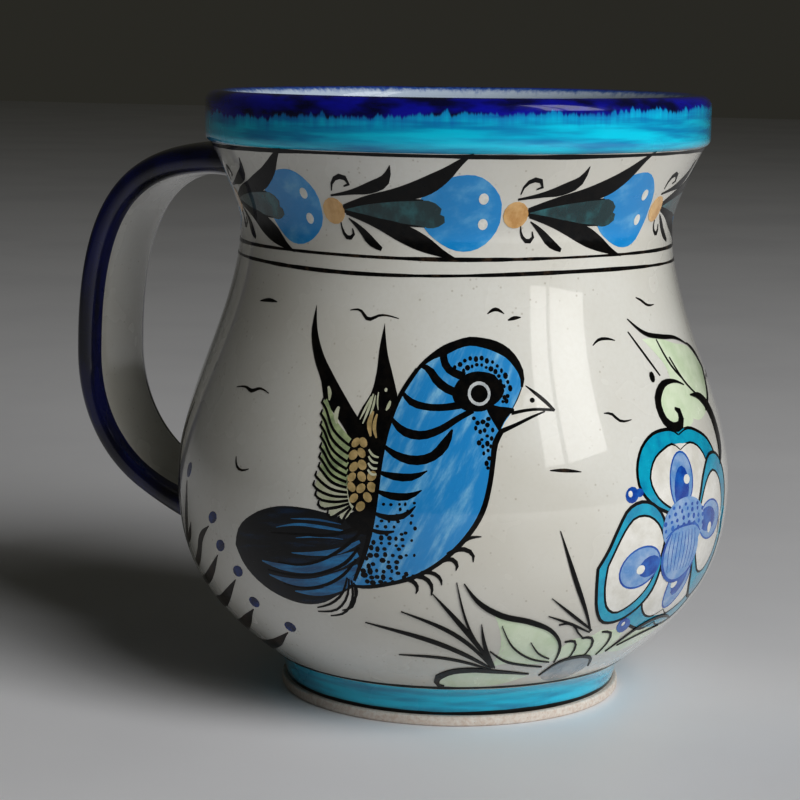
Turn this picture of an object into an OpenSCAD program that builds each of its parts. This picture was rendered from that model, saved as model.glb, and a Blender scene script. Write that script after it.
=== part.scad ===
// Hand-painted stoneware mug: a thrown, pot-bellied body with an upright collar, a turned
// foot ring and a pulled strap handle. Z is the axis, z = 0 is the plane it stands on,
// and the handle points along -X.

/* [Body] */
// Height from the resting plane to the top of the lip
mug_h = 104; // [98:0.5:112]
// Largest radius of the belly
belly_r = 48.2; // [47:0.1:51]
// Height of the belly's widest ring
belly_z = 37; // [35:0.5:40]
// Radius of the waist
waist_r = 37.2; // [36:0.1:39]
// Height of the waist
waist_z = 82; // [80:0.5:84]
// Thickness of the finished wall, with its glaze
wall = 4.4; // [3.6:0.1:5]

/* [Collar] */
// Outer radius of the upright collar
collar_r = 43.4; // [42.5:0.1:45]
// Height of the collar, up to the top of the lip
collar_h = 8.6; // [7.5:0.1:10]
// Depth of the cobalt coat below the top of the lip
cobalt_h = 4; // [3:0.1:5]
// Radius of the rounded lip
lip_r = 2.1; // [1.8:0.1:2.1]

/* [Foot] */
// Outer radius of the bare foot ring
foot_r = 29.8; // [29.4:0.1:30.4]
// Inner radius of the foot ring
foot_inner_r = 24; // [22:0.1:26]
// Height of the bare part of the foot ring
foot_h = 1.7; // [1.2:0.1:2.2]
// Depth of the recess under the floor
recess_h = 4; // [3:0.1:5]
// Radius of the glazed band at its lower edge
band_low_r = 28.9; // [28.4:0.1:29.2]
// Radius of the glazed band at its upper edge
band_top_r = 31.3; // [30.8:0.1:32]
// Height of the glazed band's upper edge
band_top_z = 6.8; // [6:0.1:7.5]
// Height of the floor inside the mug
floor_z = 9; // [8.5:0.1:10]

/* [Handle] */
// Width of the strap
strap_w = 20; // [16:0.5:24]
// Thickness of the strap where it leaves the neck
strap_top_t = 5.2; // [4.5:0.1:6]
// Thickness of the strap where it meets the belly
strap_low_t = 4; // [3.6:0.1:5]
// Distance from the mug's axis to the middle of the strap's side
handle_reach = 67.7; // [64:0.1:72]
// Height of the strap's middle at the neck
handle_top_z = 91.7; // [90:0.1:92.5]
// Height of the strap's furthest reach
handle_side_z = 55.5; // [50:0.5:60]
// Height of the strap's middle at the belly
handle_low_z = 28.8; // [27:0.1:32]
// Sideways spread of the slip around the strap's buried ends
slip_spread = 3.2; // [2:0.1:4]
// Share of that spread above and below the strap
slip_rise = 0.3; // [0.1:0.05:0.4]

/* [Glaze] */
// Thickness of each coat of glaze
glaze_t = 0.4; // [0.3:0.05:0.5]

/* [Hidden] */
$fn = 96;

collar_z = mug_h - collar_h;
cobalt_z = mug_h - cobalt_h;
lip_z = mug_h - lip_r;
foot_edge = 0.4;        // bevel along the edges the ring stands on
neck_top_r = collar_r - 0.9;

// A cubic curve through p[0] and p[3], as n straight steps.
function curve(p, n) = [for (i = [0:n]) let (t = i / n)
    pow(1 - t, 3) * p[0] + 3 * pow(1 - t, 2) * t * p[1]
    + 3 * (1 - t) * t * t * p[2] + pow(t, 3) * p[3]];

// Paths laid end to end, each starting at the end of the one before.
function joined(paths) = [for (k = [0:len(paths) - 1])
    for (i = [(k == 0 ? 0 : 1):len(paths[k]) - 1]) paths[k][i]];

function reversed(list) = [for (i = [len(list) - 1:-1:0]) list[i]];

// Direction to the right of a path at its point i.
function side(path, i) = let (
    a = path[max(i - 1, 0)],
    b = path[min(i + 1, len(path) - 1)],
    d = (b - a) / norm(b - a)) [d[1], -d[0]];

// A path moved sideways, to its right when d is positive.
function shifted(path, d) = [for (i = [0:len(path) - 1]) path[i] + d * side(path, i)];

// The finished surface in sections, from the foot band up over the lip to the floor.
band_low = [[band_low_r, foot_h], [band_low_r + 0.6, recess_h]];
band_top = curve([band_low[1], band_low[1] + [0.3, 1.1],
    [band_top_r - 0.8, band_top_z - 0.8], [band_top_r, band_top_z]], 4);
belly_low = curve([[band_top_r, band_top_z], [band_top_r + 9.5, band_top_z + 7.5],
    [belly_r, belly_z - 16], [belly_r, belly_z]], 14);
belly_top = curve([[belly_r, belly_z], [belly_r, belly_z + 15],
    [waist_r, waist_z - 15.5], [waist_r, waist_z]], 16);
neck = curve([[waist_r, waist_z], [waist_r, waist_z + 2.5],
    [neck_top_r - 1.6, collar_z - 2.8], [neck_top_r, collar_z]], 8);
collar_low = joined([
    curve([[neck_top_r, collar_z], [neck_top_r + 0.6, collar_z + 0.2],
        [collar_r, collar_z + 0.7], [collar_r, collar_z + 1.6]], 4),
    [[collar_r, collar_z + 1.6], [collar_r, cobalt_z]]]);
lip = [for (a = [0:20:180]) [collar_r - lip_r + lip_r * cos(a), lip_z + lip_r * sin(a)]];
collar_top = joined([[[collar_r, cobalt_z], lip[0]], lip]);
inner_wall = reversed(shifted(joined([belly_low, belly_top, neck]), -wall));
inner_floor = curve([inner_wall[len(inner_wall) - 1],
    inner_wall[len(inner_wall) - 1] - [2.2, 1.2], [18, floor_z], [3, floor_z]], 6);
inside = joined([[lip[len(lip) - 1], inner_wall[0]], inner_wall, inner_floor,
    [[3, floor_z], [0, floor_z]]]);

sections = [band_low, band_top, belly_low, belly_top, neck, collar_low, collar_top, inside];
skin = joined(sections);
clay = shifted(skin, -glaze_t);

// Index in skin where section k ends.
function end_of(k) = k < 0 ? 0 : end_of(k - 1) + len(sections[k]) - 1;

// Outline of the glaze over skin points a to b.
function coat(a, b) = concat(
    [for (i = [a:b]) skin[i]],
    [for (i = [b:-1:a]) clay[i]]);

// Solid inside a surface path up to the collar, where it goes on as a short plain cylinder.
module filled(path) {
    top = path[end_of(4)] + [0, 1];
    rotate_extrude() polygon(concat([for (i = [0:end_of(4)]) path[i]],
        [top, [0, top[1]], [0, path[0][1]]]));
}

// The strap's middle line in the plane of the handle, from inside the neck to inside the belly.
handle_line = joined([
    curve([[37, handle_top_z], [51, handle_top_z],
        [handle_reach, 92.6], [handle_reach, handle_side_z]], 20),
    curve([[handle_reach, handle_side_z], [handle_reach, handle_side_z - 12],
        [61, handle_low_z + 2.6], [43.8, handle_low_z]], 14)]);
stations = len(handle_line) - 1;
joint_steps = 4;        // stations over which the slip tapers off
strap_square = 3.2;     // 2 gives an oval strap section, more gives a squarer one

function root(v) = sign(v) * pow(abs(v), 2 / strap_square);
function spread(i) = slip_spread * pow(max(0, 1 - min(i, stations - i) / joint_steps), 2);
function half_t(i) = (strap_top_t + (strap_low_t - strap_top_t) * i / stations) / 2;

// Section of the strap at station i with a coat g thick over slip that spreads by s.
function strap_ring(i, g, s, angles) = let (
    out = -side(handle_line, i),
    mid = handle_line[i]) [for (a = angles) let (
        u = (half_t(i) + g + s * slip_rise) * root(cos(a)),
        w = (strap_w / 2 + g + s) * root(sin(a)),
        p = mid + u * out) [-p[0], w, p[1]]];

// Closed skin over rings of points, with flat ends.
module sweep(rings) {
    m = len(rings[0]);
    last = len(rings) - 1;
    polyhedron(
        points = [for (ring = rings) for (p = ring) p],
        faces = concat(
            [[for (j = [0:m - 1]) j]],
            [for (i = [0:last - 1]) for (j = [0:m - 1]) let (k = (j + 1) % m)
                [i * m + j, (i + 1) * m + j, (i + 1) * m + k, i * m + k]],
            [[for (j = [m - 1:-1:0]) last * m + j]]));
}

all_round = [0:20:340];

module strap(a, b, slip = false) {
    sweep([for (i = [a:b]) strap_ring(i, 0, slip ? spread(i) : 0, all_round)]);
}

// Slip around one end of the strap, which spreads where it meets the wall.
module slip_joint(a, b) {
    color("tan") difference() {
        strap(a, b, slip = true);
        strap(0, stations);
        filled(clay);
    }
}

// A coat over part of the strap's girth, and over the slip at its ends.
module strap_coat(angles) {
    difference() {
        sweep([for (i = [0:stations]) concat(
            strap_ring(i, glaze_t, spread(i), angles),
            reversed(strap_ring(i, 0, spread(i), angles)))]);
        filled(skin);
    }
}

module clay_body() {
    color("wheat") rotate_extrude() polygon(concat(
        [for (i = [end_of(0):end_of(7)]) clay[i]], [[0, recess_h]]));
}

module foot_ring() {
    color("rosybrown") rotate_extrude() polygon([
        [foot_inner_r, foot_edge], [foot_inner_r + foot_edge, 0], [foot_r - foot_edge, 0],
        [foot_r, foot_edge], [foot_r, foot_h], skin[0], clay[0],
        [clay[1][0], recess_h], [foot_inner_r, recess_h]]);
}

module handle_strap() {
    color("wheat") difference() {
        strap(0, stations);
        filled(clay);
    }
}

module upper_slip_joint() {
    slip_joint(0, joint_steps);
}

module lower_slip_joint() {
    slip_joint(stations - joint_steps, stations);
}

module liner_glaze() {
    color("ivory") rotate_extrude() polygon(coat(end_of(6), end_of(7)));
}

module body_glaze() {
    color("gainsboro") difference() {
        rotate_extrude() polygon(coat(end_of(1), end_of(4)));
        strap(0, joint_steps, slip = true);
        strap(stations - joint_steps, stations, slip = true);
    }
}

module collar_turquoise_glaze() {
    color("darkturquoise") rotate_extrude() polygon(coat(end_of(4), end_of(5)));
}

module lip_cobalt_glaze() {
    color("mediumblue") rotate_extrude() polygon(coat(end_of(5), end_of(6)));
}

module foot_band_glaze() {
    color("darkturquoise") rotate_extrude() polygon(coat(0, end_of(1)));
}

module base_glaze() {
    color("gainsboro") translate([0, 0, recess_h - glaze_t])
        cylinder(h = glaze_t, r = foot_inner_r);
}

module handle_cobalt_glaze() {
    color("midnightblue") strap_coat([-140:20:140]);
}

module handle_cream_glaze() {
    color("gainsboro") strap_coat([140:20:220]);
}

clay_body();
foot_ring();
handle_strap();
upper_slip_joint();
lower_slip_joint();
liner_glaze();
body_glaze();
collar_turquoise_glaze();
lip_cobalt_glaze();
foot_band_glaze();
base_glaze();
handle_cobalt_glaze();
handle_cream_glaze();
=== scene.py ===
import math

import bpy
import numpy as np
from mathutils import Matrix, Vector


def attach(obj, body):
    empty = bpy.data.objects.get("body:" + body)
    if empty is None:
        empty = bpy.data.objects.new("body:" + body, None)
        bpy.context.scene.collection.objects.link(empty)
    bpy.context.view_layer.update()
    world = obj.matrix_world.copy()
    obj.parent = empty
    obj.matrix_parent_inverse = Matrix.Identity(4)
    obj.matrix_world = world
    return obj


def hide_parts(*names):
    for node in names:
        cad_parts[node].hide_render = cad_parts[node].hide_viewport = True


# Hand-painted stoneware mug: its glaze coats are turned and rolled over the clay, and every brush
# mark is a thin film on top of them. The mug's axis is Z and the handle is along -X.
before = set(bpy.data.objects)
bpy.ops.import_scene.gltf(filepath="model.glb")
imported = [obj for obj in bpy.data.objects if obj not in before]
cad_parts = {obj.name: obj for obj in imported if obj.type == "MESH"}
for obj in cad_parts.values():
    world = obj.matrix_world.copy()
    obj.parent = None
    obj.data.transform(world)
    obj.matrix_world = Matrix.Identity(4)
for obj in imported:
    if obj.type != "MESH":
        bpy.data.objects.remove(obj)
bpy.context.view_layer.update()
mm = 0.001
rng = np.random.default_rng(11)
print("frame loaded:", len(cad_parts), "clay and glaze nodes")


# helpers for shaping
def curve(a, b, c, d, steps):      # a cubic bend from a to d, pulled towards b and c
    ends = [np.array(p, float) for p in (a, b, c, d)]
    t = np.linspace(0, 1, steps + 1)[:, None]
    near = (1 - t) ** 3 * ends[0] + 3 * (1 - t) ** 2 * t * ends[1]
    return near + 3 * (1 - t) * t * t * ends[2] + t ** 3 * ends[3]


def joined(*runs):
    path = [np.array(runs[0], float)]
    for run in runs[1:]:
        path.append(np.array(run, float)[1:])
    return np.concatenate(path)


def shifted(path, d):      # moved to the right of its direction
    along = np.empty_like(path)
    along[1:-1] = path[2:] - path[:-2]
    along[0] = path[1] - path[0]
    along[-1] = path[-1] - path[-2]
    along /= np.linalg.norm(along, axis=1)[:, None]
    return path + d * np.stack([along[:, 1], -along[:, 0]], 1)


def freshStart():
    if bpy.context.object and bpy.context.object.mode != "OBJECT":
        bpy.ops.object.mode_set(mode="OBJECT")
    bpy.ops.object.select_all(action="DESELECT")


def editAll():
    bpy.ops.object.mode_set(mode="EDIT")
    bpy.ops.mesh.select_all(action="SELECT")


def doneShaping(piece, name, angle=35):
    bpy.ops.object.mode_set(mode="OBJECT")
    bpy.ops.object.shade_smooth_by_angle(angle=math.radians(angle))
    piece.name = name
    piece.data.name = name
    return piece


def fitted(piece, slot, finish, *nodes):
    piece.data.materials.clear()
    piece.data.materials.append(finish)
    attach(piece, "root")
    if nodes:
        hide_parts(*nodes)
    return piece


# the mug's profile, as (radius, height) in millimetres
mug = {
    "glaze": 0.4,
    "wall": 4.4,
    "footTop": (28.9, 1.7),
    "bandMiddle": (29.5, 4.0),
    "bandTop": (31.3, 6.8),
    "belly": (48.2, 37.0),
    "waist": (37.2, 82.0),
    "neckTop": (42.5, 95.4),
    "collarRadius": 43.4,
    "cobaltFrom": 100.0,      # height where the lip's coat starts
    "lip": (41.3, 101.9),
    "lipRadius": 2.1,
    "floorHeight": 9.0,
    "turns": 192,
}
collarR = mug["collarRadius"]
bandLow = [mug["footTop"], mug["bandMiddle"]]
bandTop = curve(mug["bandMiddle"], (29.8, 5.1), (30.5, 6.0), mug["bandTop"], 10)
bellyLow = curve(mug["bandTop"], (40.8, 14.3), (48.2, 21), mug["belly"], 32)
bellyTop = curve(mug["belly"], (48.2, 52), (37.2, 66.5), mug["waist"], 34)
neck = curve(mug["waist"], (37.2, 84.5), (40.9, 92.6), mug["neckTop"], 16)
collarLow = joined(curve(mug["neckTop"], (43.1, 95.6), (collarR, 96.1), (collarR, 97), 8),
                   [(collarR, 97), (collarR, 98.5), (collarR, mug["cobaltFrom"])])
lipArc = [(mug["lip"][0] + mug["lipRadius"] * math.cos(a), mug["lip"][1] + mug["lipRadius"] * math.sin(a))
          for a in np.radians(np.arange(0, 181, 10))]
collarTop = joined([(collarR, mug["cobaltFrom"]), (collarR, 101), lipArc[0]], lipArc)
innerWall = shifted(joined(bellyLow, bellyTop, neck), -mug["wall"])[::-1]
floorEdge = (3, mug["floorHeight"])
wallEnd = innerWall[-1]
innerFloor = curve(wallEnd, wallEnd - np.array((2.2, 1.2)), (18, mug["floorHeight"]), floorEdge, 14)
inside = joined([lipArc[-1], innerWall[0]], innerWall, innerFloor, [floorEdge, (0, mug["floorHeight"])])
coats = {
    "band": (bandLow, bandTop), "body": (bellyLow, bellyTop, neck), "collar": (collarLow,),
    "lip": (collarTop,), "liner": (inside,),
}
skin = joined(bandLow, bandTop, bellyLow, bellyTop, neck, collarLow, collarTop, inside)
clay = shifted(skin, -mug["glaze"])


def coatOutline(part):      # one stretch of the skin, closed along the clay behind it
    path = joined(*coats[part])
    start = int(np.argmin(np.linalg.norm(skin - path[0], axis=1)))
    stop = start + len(path)
    return np.concatenate([skin[start:stop], clay[start:stop][::-1]])


def turned(name, outline):      # an outline of (radius, height) spun round the mug's axis
    freshStart()
    bpy.ops.mesh.primitive_circle_add(vertices=len(outline), radius=0.01, fill_type="NOTHING")
    piece = bpy.context.object
    spots = np.zeros((len(outline), 3))
    spots[:, 0] = outline[:, 0] * mm
    spots[:, 2] = outline[:, 1] * mm
    piece.data.vertices.foreach_set("co", spots.ravel())
    editAll()
    bpy.ops.mesh.spin(steps=mug["turns"], angle=math.tau, center=(0, 0, 0), axis=(0, 0, 1))
    bpy.ops.mesh.select_all(action="SELECT")
    bpy.ops.mesh.remove_doubles(threshold=2e-6)
    bpy.ops.mesh.dissolve_degenerate(threshold=1e-7)
    bpy.ops.mesh.delete_loose(use_verts=True, use_edges=True, use_faces=False)
    bpy.ops.mesh.select_all(action="SELECT")
    bpy.ops.mesh.normals_make_consistent(inside=False)
    return doneShaping(piece, name)


# shader maths
class Value:      # a shader socket that can be used in a sum
    def __init__(self, recipe, socket):
        self.recipe = recipe
        self.socket = socket

    def maths(self, how, a, b):
        return self.recipe.node("ShaderNodeMath", {"operation": how}, {0: a, 1: b})

    def __add__(self, other):
        return self.maths("ADD", self, other)

    def __radd__(self, other):
        return self.maths("ADD", other, self)

    def __sub__(self, other):
        return self.maths("SUBTRACT", self, other)

    def __rsub__(self, other):
        return self.maths("SUBTRACT", other, self)

    def __mul__(self, other):
        return self.maths("MULTIPLY", self, other)

    def __rmul__(self, other):
        return self.maths("MULTIPLY", other, self)


class Recipe:      # one material and the nodes that feed its shader
    def __init__(self, name, **fixed):
        self.material = bpy.data.materials.new(name)
        self.material.use_nodes = True
        self.tree = self.material.node_tree
        self.shader = self.tree.nodes["Principled BSDF"]
        for socket, value in fixed.items():
            self.shader.inputs[socket.replace("_", " ")].default_value = value

    def node(self, kind, settings=None, sockets=None, out=0):
        made = self.tree.nodes.new(kind)
        for key, value in (settings or {}).items():
            setattr(made, key, value)
        for key, value in (sockets or {}).items():
            if isinstance(value, Value):
                self.tree.links.new(value.socket, made.inputs[key])
            else:
                made.inputs[key].default_value = value
        return Value(self, made.outputs[out])

    def place(self):      # where on the mug, in metres
        return self.node("ShaderNodeTexCoord", out="Object")

    def flat(self):      # where on a brush mark's flat pattern
        return self.node("ShaderNodeUVMap", {"uv_map": "UVMap"})

    def along(self, where, turn=0.0, stretch=(1, 1, 1)):
        size = tuple(1 / s for s in stretch)
        return self.node("ShaderNodeMapping", {"vector_type": "TEXTURE"},
                         {"Vector": where, "Rotation": (0, 0, math.radians(turn)), "Scale": size})

    def cloud(self, where, scale, detail=2.0, rough=0.5):
        return self.node("ShaderNodeTexNoise", None,
                         {"Vector": where, "Scale": scale, "Detail": detail, "Roughness": rough})

    def spots(self, where, scale):
        return self.node("ShaderNodeTexVoronoi", {"feature": "F1"}, {"Vector": where, "Scale": scale})

    def parts(self, where, axis):
        return self.node("ShaderNodeSeparateXYZ", None, {0: where}, out=axis)

    def between(self, value, low, high, start=0.0, end=1.0):
        span = {"Value": value, "From Min": low, "From Max": high, "To Min": start, "To Max": end}
        return self.node("ShaderNodeMapRange", {"interpolation_type": "SMOOTHSTEP"}, span)

    def blend(self, mask, a, b):      # colour a where the mask is 0, b where it is 1
        return self.node("ShaderNodeMix", {"data_type": "RGBA"}, {0: mask, 6: a, 7: b}, 2)

    def feed(self, **links):
        for socket, value in links.items():
            self.tree.links.new(value.socket, self.shader.inputs[socket.replace("_", " ")])

    def dents(self, height, depth, strength):
        bump = {"Height": height, "Distance": depth * mm, "Strength": strength}
        normal = self.node("ShaderNodeBump", None, bump)
        self.tree.links.new(normal.socket, self.shader.inputs["Normal"])


def tone(r, g, b):      # a colour as the eye sees it, 0 to 255, made linear
    parts = [v / 255 for v in (r, g, b)]
    return tuple(v / 12.92 if v <= 0.04045 else ((v + 0.055) / 1.055) ** 2.4 for v in parts) + (1.0,)


# finishes
gloss = {"Coat_Weight": 1.0, "Coat_Roughness": 0.03, "Coat_IOR": 1.5, "IOR": 1.4}
creamLook = {
    "cream": tone(222, 222, 217), "warm": tone(206, 203, 193), "speck": tone(150, 140, 122), "specks": 900.0,
}


def creamGlaze(name, look):
    m = Recipe(name, **gloss)
    where = m.place()
    drift = m.between(m.cloud(where, 26, 3), 0.35, 0.7)
    patches = m.between(m.cloud(where, 240, 1), 0.5, 0.66)
    fleck = m.between(m.spots(where, look["specks"]), 0.24, 0.06) * patches
    colour = m.blend(drift * 0.75, look["cream"], look["warm"])
    grain = m.between(m.cloud(where, 1400, 2), 0.3, 0.75)
    colour = m.blend(grain * 0.16, colour, look["warm"])
    colour = m.blend(fleck * 0.45, colour, look["speck"])
    m.feed(Base_Color=colour, Roughness=m.between(m.cloud(where, 90, 2), 0.3, 0.7, 0.16, 0.3))
    m.dents(m.cloud(where, 70, 2) * 0.8 + m.cloud(where, 600, 1) * 0.06, 0.12, 0.45)
    return m.material


linerLook = {
    "white": tone(228, 230, 228), "warm": tone(206, 205, 196), "speck": tone(150, 142, 128),
    "bleed": tone(66, 104, 160), "bleedFrom": 99.0, "bleedTo": 104.0,
}


def linerGlaze(name, look):
    m = Recipe(name, **gloss)
    where = m.place()
    height = m.parts(where, "Z")
    runs = m.cloud(m.along(where, 0, (1, 1, 0.16)), 520, 3)
    edge = m.between(height + (runs - 0.5) * (9 * mm), look["bleedFrom"] * mm, look["bleedTo"] * mm)
    colour = m.blend(m.between(m.cloud(where, 40, 3), 0.35, 0.7) * 0.5, look["white"], look["warm"])
    fleck = m.between(m.spots(where, 800), 0.22, 0.06) * m.between(m.cloud(where, 200, 1), 0.52, 0.66)
    colour = m.blend(fleck * 0.4, colour, look["speck"])
    colour = m.blend(edge, colour, look["bleed"])
    m.feed(Base_Color=colour, Roughness=m.between(m.cloud(where, 90, 2), 0.3, 0.7, 0.18, 0.32))
    m.dents(m.cloud(where, 60, 2), 0.1, 0.4)
    return m.material


collarLook = {
    "turquoise": tone(6, 212, 240), "pool": tone(4, 140, 192),
    "cobalt": tone(18, 22, 160), "ink": tone(8, 10, 58), "halo": tone(22, 74, 176),
    "inner": tone(186, 200, 218), "bleed": tone(52, 92, 166),
    "edge": 100.95, "ragged": 1.9,      # height of the cobalt's lower edge, and how far it wanders
    "lean": 0.026,                      # the cobalt reaches lower on the handle's side
    "thin": (("bleed", 41.0, 40.2), ("inner", 40.3, 39.4)),      # radii where it thins over the lip
}


def collarGlaze(name, look):      # cobalt runs down from the lip into the turquoise
    m = Recipe(name, **gloss)
    where = m.place()
    height = m.parts(where, "Z") - m.parts(where, "X") * look["lean"]
    fine = m.cloud(m.along(where, 0, (1, 1, 0.05)), 950, 3, 0.65)
    broad = m.cloud(m.along(where, 0, (1, 1, 0.05)), 110, 2)
    wander = (fine - 0.5) * (look["ragged"] * 1.7 * mm)
    edge = height + wander + (broad - 0.5) * (look["ragged"] * 1.3 * mm)
    solid = m.between(edge, (look["edge"] - 0.25) * mm, (look["edge"] + 0.3) * mm)
    fringe = m.between(edge, (look["edge"] - 2.1) * mm, (look["edge"] + 0.1) * mm)
    strokes = m.cloud(m.along(where, 0, (1, 1, 12)), 60, 4)
    colour = m.blend(m.between(strokes, 0.35, 0.72), look["turquoise"], look["pool"])
    colour = m.blend(m.between(m.cloud(where, 30, 2), 0.4, 0.75) * 0.45, colour, look["pool"])
    colour = m.blend(fringe * 0.55, colour, look["halo"])
    pooled = m.between(m.cloud(m.along(where, 0, (1, 1, 3)), 130, 3), 0.38, 0.66)
    deep = m.blend(pooled, look["cobalt"], look["ink"])
    colour = m.blend(solid, colour, deep)
    level = m.along(where, 0, (1, 1, 0.001))
    around = m.node("ShaderNodeVectorMath", {"operation": "LENGTH"}, {0: level}, "Value")
    within = around + (fine - 0.5) * (1.6 * mm)
    for shade, start, stop in look["thin"]:
        colour = m.blend(m.between(within, start * mm, stop * mm), colour, look[shade])
    m.feed(Base_Color=colour, Roughness=m.between(m.cloud(where, 120, 2), 0.3, 0.7, 0.14, 0.28))
    m.dents(m.cloud(m.along(where, 0, (1, 1, 3)), 150, 3) + solid * 0.5, 0.08, 0.4)
    return m.material


# the band turns darker towards its lowest edge, just above the foot
bandLook = {"turquoise": tone(4, 200, 232), "pool": tone(6, 150, 188), "rim": tone(10, 52, 66)}


def bandGlaze(name, look):
    m = Recipe(name, **gloss)
    where = m.place()
    strokes = m.cloud(m.along(where, 0, (1, 1, 9)), 80, 4)
    colour = m.blend(m.between(strokes, 0.36, 0.72), look["turquoise"], look["pool"])
    height = m.parts(where, "Z")
    rim = height + (m.cloud(where, 260, 2) - 0.5) * (1.2 * mm)
    colour = m.blend(m.between(rim, 3.0 * mm, 1.6 * mm) * 0.8, colour, look["rim"])
    m.feed(Base_Color=colour, Roughness=m.between(m.cloud(where, 120, 2), 0.3, 0.7, 0.16, 0.3))
    m.dents(strokes, 0.06, 0.4)
    return m.material


# the strap's navy, cobalt and ink are darker than the lip's cobalt glaze: its own dark cobalt, with painted
# shade making it near black
strapLook = {
    "shadedNavy": tone(8, 11, 34), "cobalt": tone(12, 20, 88), "ink": tone(6, 9, 24),
    "turquoise": tone(16, 128, 172), "stripeAndGlint": 4.6,      # the stripe's colour and half its width; the stripe is partly painted reflection, standing in for a teal glint along the strap
}


def strapGlaze(name, look):      # cobalt edges round a softer stripe down the outside of the strap; that turquoise stripe is partly the strap's paint and partly a painted reflection of teal light
    m = Recipe(name, **gloss)
    where = m.place()
    across = m.node("ShaderNodeMath", {"operation": "ABSOLUTE"}, {0: m.parts(where, "Y")})
    outward = m.between(m.cloud(m.along(where, 0, (0.3, 1, 0.2)), 420, 3), 0.3, 0.7)
    reach = across + (outward - 0.5) * (2.2 * mm)
    inside = m.between(reach, (look["stripeAndGlint"] + 1.2) * mm, (look["stripeAndGlint"] - 1.2) * mm)
    streak = m.cloud(m.along(where, 0, (0.2, 1, 0.12)), 500, 3)
    # painted shade: the strap's colour mottles between a near-black navy and a dark cobalt
    colour = m.blend(m.between(streak, 0.36, 0.66), look["shadedNavy"], look["cobalt"])
    stripeAndGlint = m.blend(m.between(streak, 0.4, 0.7), look["turquoise"], look["cobalt"])
    colour = m.blend(inside * 0.85, colour, stripeAndGlint)
    colour = m.blend(m.between(m.cloud(where, 45, 2), 0.5, 0.75) * 0.6, colour, look["ink"])
    m.feed(Base_Color=colour, Roughness=m.between(m.cloud(where, 90, 2), 0.3, 0.7, 0.16, 0.32))
    m.dents(m.cloud(where, 110, 2), 0.1, 0.4)
    return m.material


clayLook = {"pale": tone(206, 190, 176), "pink": tone(176, 142, 126), "dark": tone(120, 92, 80)}
footLook = {"pale": tone(226, 219, 211), "pink": tone(208, 192, 180), "dark": tone(160, 136, 122)}


def bareClay(name, look):
    m = Recipe(name, Specular_IOR_Level=0.35)
    where = m.place()
    grain = m.cloud(where, 1500, 4, 0.65)
    wheel = m.cloud(m.along(where, 0, (1, 1, 14)), 90, 3)
    colour = m.blend(m.between(grain, 0.35, 0.7), look["pale"], look["pink"])
    colour = m.blend(m.between(m.spots(where, 1300), 0.16, 0.04) * 0.6, colour, look["dark"])
    colour = m.blend(m.between(wheel, 0.4, 0.7) * 0.35, colour, look["pink"])
    m.feed(Base_Color=colour, Roughness=m.between(grain, 0.3, 0.7, 0.68, 0.92))
    m.dents(grain + wheel * 0.6, 0.09, 0.8)
    return m.material


# one brushed colour: it mottles between two tones, and the turn and the stretch lay the mottle
# along the strokes
def paint(name, deep, light, mottle, turn=0.0, stretch=(1, 1, 1), share=1.0, low=0.35, high=0.7, shine=0.5):
    m = Recipe(name, **{**gloss, "Coat_Weight": min(1.0, shine * 2)}, Specular_IOR_Level=shine)
    where = m.along(m.flat(), turn, stretch)
    wash = m.cloud(where, mottle, 4, 0.6)
    grain = m.cloud(m.flat(), mottle * 9, 2)
    colour = m.blend(m.between(wash, low, high) * share, deep, light)
    colour = m.blend(m.between(grain, 0.42, 0.7) * 0.22 * share, colour, deep)
    m.feed(Base_Color=colour, Roughness=m.between(wash, 0.3, 0.7, 0.28, 0.16))
    m.dents(m.cloud(m.flat(), 90, 2) + grain * 0.12, 0.06, 0.4)
    return m.material


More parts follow.
